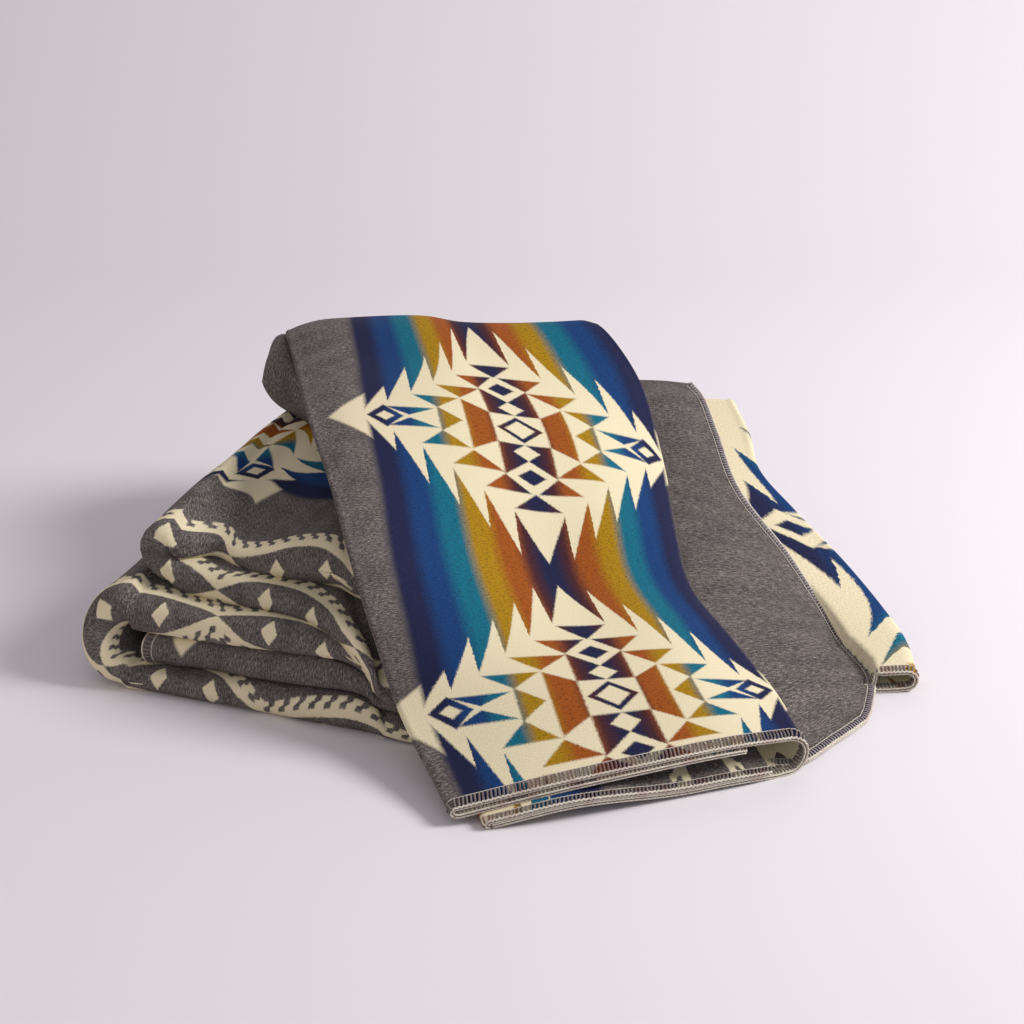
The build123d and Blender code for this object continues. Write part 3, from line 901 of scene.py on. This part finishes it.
def pressed(points, top=STACK_TOP, base=0.0):
    """Points lowered in proportion, so that a pile of height top fits under what lies on it."""
    room = (room_under(points, COVERS) - 4.0 - base) / (top - base)
    share = np.clip(room, 0.03, 1.0)
    share = np.minimum(share, blurred(share, 3))
    points = points.copy()
    points[..., 2] = base + (points[..., 2] - base) * np.where(points[..., 2] > base, share, 1)
    return points


ARC_STEPS = 24                  # points round the front of a folded leg


def section_path(front, rear, half, cap, count):
    """Round a flat tube's section: depth and height share, from its rear under side, round the
    front, to its rear outer side and down the rear."""
    run = np.linspace(1, 0, count)
    arc = np.linspace(-math.pi / 2, math.pi / 2, ARC_STEPS + 2)
    straight = front + cap + (rear - half - front - cap) * run
    depth = np.concatenate([straight, front + cap - cap * np.cos(arc)[1:-1],
                            straight[::-1], rear - half + half * np.cos(arc)[::-1][1:-1]])
    bend = np.sin(arc)[1:-1]
    height = np.concatenate([-np.ones(count), bend, np.ones(count), bend[::-1]])
    return depth, height


def section_grid(front, rear, half, cap, count):
    """Depths and height shares of a tube's sections, a row for each value of front."""
    rows = [section_path(*values, count) for values in np.broadcast(front, rear, half, cap)]
    return np.array(rows).transpose(1, 0, 2)


def unrolled(points, count):
    """Distance along each row of a grid of sections, from the middle of their fronts."""
    zero = count + ARC_STEPS // 2
    steps = np.linalg.norm(np.diff(points, axis=1), axis=-1)
    distance = np.pad(np.cumsum(steps, axis=1), ((0, 0), (1, 0)))
    return distance - distance[:, zero:zero + 1]


LEG_STATIONS = [-60, 0, 60, 170, 230, 300, 460]


def leg_fold(name, length, stations, stretch, shift, roll, skew, seed):
    """Two legs of the stacked strip joined by a turn at the left, as one tube of cloth.

    stations(t) gives the path's u and z, its outward direction, half thickness, front depth
    and the rise behind its front; roll, how far the pattern is rolled round it at values of t."""
    t = np.arange(-length, length + 0.1, 5.0)
    u, z, out_u, out_z, half, front, rise_behind = stations(t)
    count = 36
    depth, height = section_grid(front, LEG_REAR, half * 0.9, half * 1.05, count)
    rise = rise_behind[:, None] * ease(depth - front[:, None], 0, 200) * np.clip(height, 0, 1)
    swell = ripple(*depth.shape, 26, 26, seed) * 1.8 + ripple(*depth.shape, 9, 12, seed + 1) * 0.6
    offset = height * half[:, None] + swell * np.sign(height)
    place_u = u[:, None] + out_u[:, None] * offset
    place_z = z[:, None] + out_z[:, None] * offset + rise
    points = stack_points(place_u, depth + swell * 0.6, np.maximum(place_z, 2.0))
    distance = unrolled(points, count)
    flat_x = -BAND_PERIOD / 2 + distance - smooth(*roll, t)[:, None]
    along = (STAR_START + stretch * t + shift)[:, None] + skew * np.maximum(distance - 40, 0)
    points = pressed(points)
    return cloth_mesh(name, points, np.stack([flat_x, along], -1))


def turned(t, start, height, radius, lower, upper, reach, turn_half):
    """Two legs and the turn between them: the path's u, z and angle, and its half thickness.

    lower and upper give each leg's under side and top at LEG_STATIONS."""
    quarter = radius * math.pi / 2
    angle = np.clip(t / radius, -math.pi / 2, math.pi / 2)
    u = start + np.maximum(np.abs(t) - quarter, 0) - radius * np.cos(angle)
    z = height + radius * np.sin(angle)
    lower_low, lower_top, upper_low, upper_top = [
        smooth(LEG_STATIONS, heights, u) for heights in (*lower, *upper)]
    z = np.where(t < -quarter, (lower_top + lower_low) / 2, z)
    z = np.where(t > quarter, (upper_top + upper_low) / 2, z)
    half = np.where(t < 0, (lower_top - lower_low) / 2, (upper_top - upper_low) / 2)
    turn = np.exp(-(t / reach) ** 2)
    return u, z, angle, half * (1 - turn) + turn_half * turn


def lower_stations(t):
    """Bottom leg, left turn and second leg."""
    bottom_leg = [0] * 7, [18, 18, 20, 28, 34, 42, 44]
    second_leg = [46, 47, 51, 58, 63, 70, 72], [84, 82, 76, 80, 76, 82, 86]
    u, z, angle, half = turned(t, 0.0, 44.0, 30.0, bottom_leg, second_leg, 34.0, 16)
    front = -7 + 14 * ease(t, -40, 40) - 8 * np.exp(-((t + 10) / 40.0) ** 2)
    return u, z, -np.cos(angle), np.sin(angle), half, front, 0 * t


def upper_stations(t):
    """Third leg, left turn with its ear, and the top leg, which slopes down to its front."""
    third_leg = [84, 80, 74, 78, 65, 60, 60], [114, 112, 102, 98, 102, 98, 96]
    fourth_leg = [116, 116, 102, 98, 104, 99, 97], [146, 144, 119, 138, 138, 134, 134]
    u, z, angle, half = turned(t, 24.0, 115.0, 16.0, third_leg, fourth_leg, 28.0, 15)
    front_third = smooth([-30, 40, 100, 170, 230, 290, 460], [40, 40, 36, 26, 2, -5, -6], u)
    front_fourth = smooth([-30, 10, 32, 52, 78, 110, 180, 260, 460],
                          [38, 36, 46, 70, 66, 60, 57, 40, 30], u)
    share = ease(t, -14, 14)
    front = front_third * (1 - share) + front_fourth * share
    rise = np.maximum(152 - smooth(LEG_STATIONS, fourth_leg[1], u), 0) * ease(t, 0, 40)
    return u, z, -np.cos(angle), np.sin(angle), half, front, rise


LOWER_ROLL = ([-400, -190, -110, -48, 0, 60, 133, 190, 260, 400],
              [14, 14, -8, -6, 0, 6, 14, 6, -8, -14])
UPPER_ROLL = ([-400, -280, -170, -80, 0, 60, 100, 165, 300], [-6, -4, 0, -6, 0, 4, -6, 0, 4])
lower_fold = leg_fold("lower_fold", 385, lower_stations, stretch=1.06, shift=-141,
                      roll=LOWER_ROLL, skew=0.0, seed=31)
finish_sheet(lower_fold, ["bottom_leg", "lower_turn", "second_leg"])
upper_fold = leg_fold("upper_fold", 330, upper_stations, stretch=1.133, shift=255,
                      roll=UPPER_ROLL, skew=0.42, seed=41)
finish_sheet(upper_fold, ["third_leg", "upper_turn", "fourth_leg"])


def build_tucked():
    """The grey end that lies inside the lower fold, with its stitched edge at the left."""
    u = np.arange(13.0, 380, 5.0)
    low = smooth(LEG_STATIONS, [20, 20, 22, 30, 36, 44, 46], u)
    top = smooth(LEG_STATIONS, [45, 45, 49, 56, 61, 68, 70], u)
    half = (top - low) / 2
    z = (top + low) / 2
    front = 5 + 3 * np.sin(u / 40)
    count = 30
    depth, height = section_grid(front, LEG_REAR - 6, half * 0.8, half * 0.85, count)
    swell = ripple(*depth.shape, 20, 26, 51) * 1.2
    place_u = u[:, None] + 6 * np.sin(depth / 30)
    points = stack_points(place_u, depth + swell, z[:, None] + height * half[:, None])
    distance = unrolled(points, count)
    roll = 26 * ease(u, 215, 330)
    flat_x = -(HALF_BAND + GREY_GAP / 2) + distance - roll[:, None] - 2
    flat = np.stack([flat_x, np.broadcast_to(u[:, None] + 20, flat_x.shape)], -1)
    points = pressed(points)
    piece = cloth_mesh("tucked_end_cloth", points, flat)
    edge, inward, normal = end_lines(points[::-1])
    seam = edging("tucked_end_stitching", edge, inward, -normal, ["tucked_end_edging"])
    finish_sheet(piece, ["tucked_end"])


build_tucked()


# --- ridge and rear
ROUND_END = 26.0


def rounded(distance, reach):
    """0 at a rounded end, 1 beyond its reach, round in between."""
    return np.sqrt(np.clip(1 - (1 - np.clip(distance / reach, 0, 1)) ** 2, 0.0, 1))


def bundle(name, x, front, rear, low, top, flat_centre, flat_start, seed, press_base=0.0,
           press_top=None, round_left=ROUND_END, flat_sign=1.0):
    """A folded bundle that runs along x, rounded at both long sides and at both ends."""
    front, rear, low, top = [value + 0 * x for value in (front, rear, low, top)]
    size = np.maximum(rounded(x - x[0], round_left) * rounded(x[-1] - x, ROUND_END), 0.04)
    half = (top - low) / 2
    half_depth = (rear - front) / 2
    count = 26
    depth, height = section_grid(-half_depth, half_depth, half * 0.85, half * 0.85, count)
    pull = 1 - (1 - size) * 0.25
    points = np.stack([x[:, None] + 0 * depth,
                       ((rear + front) / 2)[:, None] + depth * pull[:, None],
                       ((top + low) / 2)[:, None] + height * half[:, None] * size[:, None]], -1)
    swell = ripple(*points.shape[:2], 20, 26, seed) * 1.6
    points[..., 1] += swell
    points[..., 2] += swell * 0.5 * (points[..., 2] > low.min() + 8)
    distance = unrolled(points, count)
    along = np.broadcast_to((x - x[0] + flat_start)[:, None], distance.shape)
    flat = np.stack([flat_centre + flat_sign * distance, along], -1)
    points = pressed(points, top=press_top or top.max() + 2, base=press_base)
    return cloth_mesh(name, points, flat)


def build_ridge():
    rounded_end = -197 - 34 * np.cos(np.linspace(0, 1.5, 14))
    x = np.concatenate([rounded_end, np.arange(-192.0, 97, 4.5)])
    front = smooth([-231, -205, -170, -140, 97], [176, 166, 120, 80, 84], x)
    ridge = bundle("ridge", x, front, 286, 152, 221, -HALF_WIDTH - 20, 30, 61,
                   press_base=150.0, round_left=34.0)
    finish_sheet(ridge, ["ridge_fold"])


def build_rear():
    """Legs of the strip behind the stack, seen as three thick folds from the rear."""
    x = np.arange(-204.0, 150, 6.0)
    front_line = 224 - (x + 213) * math.tan(-STACK_TURN) + 8
    # Under side, top, rear, shift to the right, and what shows at the front's middle.
    folds = [(2, 52, 294, 0, -BAND_PERIOD / 2), (53, 102, 299, 7, -40.0),
             (103, 150, 291, 2, BAND_PERIOD / 2)]
    for k, (low, top, rear, right, flat_centre) in enumerate(folds):
        piece = bundle(f"rear_fold_{k + 1}", x + right, np.minimum(front_line, 262), rear, low, top,
                       flat_centre, 40 * k, 71 + k, press_top=STACK_TOP, flat_sign=-1.0)
        finish_sheet(piece, [] if k else ["rear_leg"])


build_ridge()
build_rear()


# --- camera, floor and light
def add_camera():
    elevation = math.radians(25.0)
    distance = 2.05
    target = np.array([0.014, 0.282, 0.0])
    data = bpy.data.cameras.new("camera")
    data.sensor_width = 36
    data.lens = 18 / math.tan(math.radians(15.0))
    camera = add_object("camera", data)
    camera.location = target + distance * np.array([0, -math.cos(elevation), math.sin(elevation)])
    camera.rotation_euler = (math.pi / 2 - elevation, 0, 0)
    bpy.context.scene.camera = camera


def add_floor():
    """A floor that curves up into a backdrop."""
    reach, bend_start, radius = 14000.0, 1100.0, 900.0
    angle = np.linspace(0.05, math.pi / 2, 24)
    depth = np.concatenate([np.linspace(-reach, bend_start, 8),
                            bend_start + radius * np.sin(angle),
                            np.full(6, bend_start + radius)])
    rise = np.concatenate([np.zeros(8), radius * (1 - np.cos(angle)), np.linspace(1100, 3500, 6)])
    points = [(side, d, z) for side in (-reach, reach) for d, z in zip(depth, rise)]
    n = len(depth)
    faces = [(n + i, n + i + 1, i + 1, i) for i in range(n - 1)]
    material = bpy.data.materials.new("floor")
    material.use_nodes = True
    shader = material.node_tree.nodes["Principled BSDF"]
    shader.inputs["Base Color"].default_value = as_colour((0.80, 0.765, 0.79))
    shader.inputs["Roughness"].default_value = 0.9
    mesh_piece("floor", np.array(points), faces, np.zeros(len(faces)), [material])


def add_area(name, place, target, size, power, colour):
    data = bpy.data.lights.new(name, "AREA")
    data.shape = "DISK"
    data.size = size
    data.energy = power
    data.color = colour
    light = add_object(name, data)
    light.location = place
    direction = Vector(target) - Vector(place)
    light.rotation_euler = direction.to_track_quat("-Z", "Y").to_euler()


def add_lights():
    world = bpy.data.worlds.new("world")
    world.use_nodes = True
    colour, strength = world.node_tree.nodes["Background"].inputs[:2]
    colour.default_value = (0.90, 0.875, 0.95, 1)
    strength.default_value = 0.45
    bpy.context.scene.world = world
    add_area("key", (2.3, -0.1, 1.9), (0.0, 0.0, 0.1), 1.2, 76, (1.0, 0.98, 0.98))
    add_area("fill", (-2.0, -0.9, 0.9), (-0.3, 0.0, 0.0), 1.0, 4, (1.0, 0.78, 0.58))
    bpy.context.scene.view_settings.view_transform = "Standard"


add_camera()
add_floor()
add_lights()
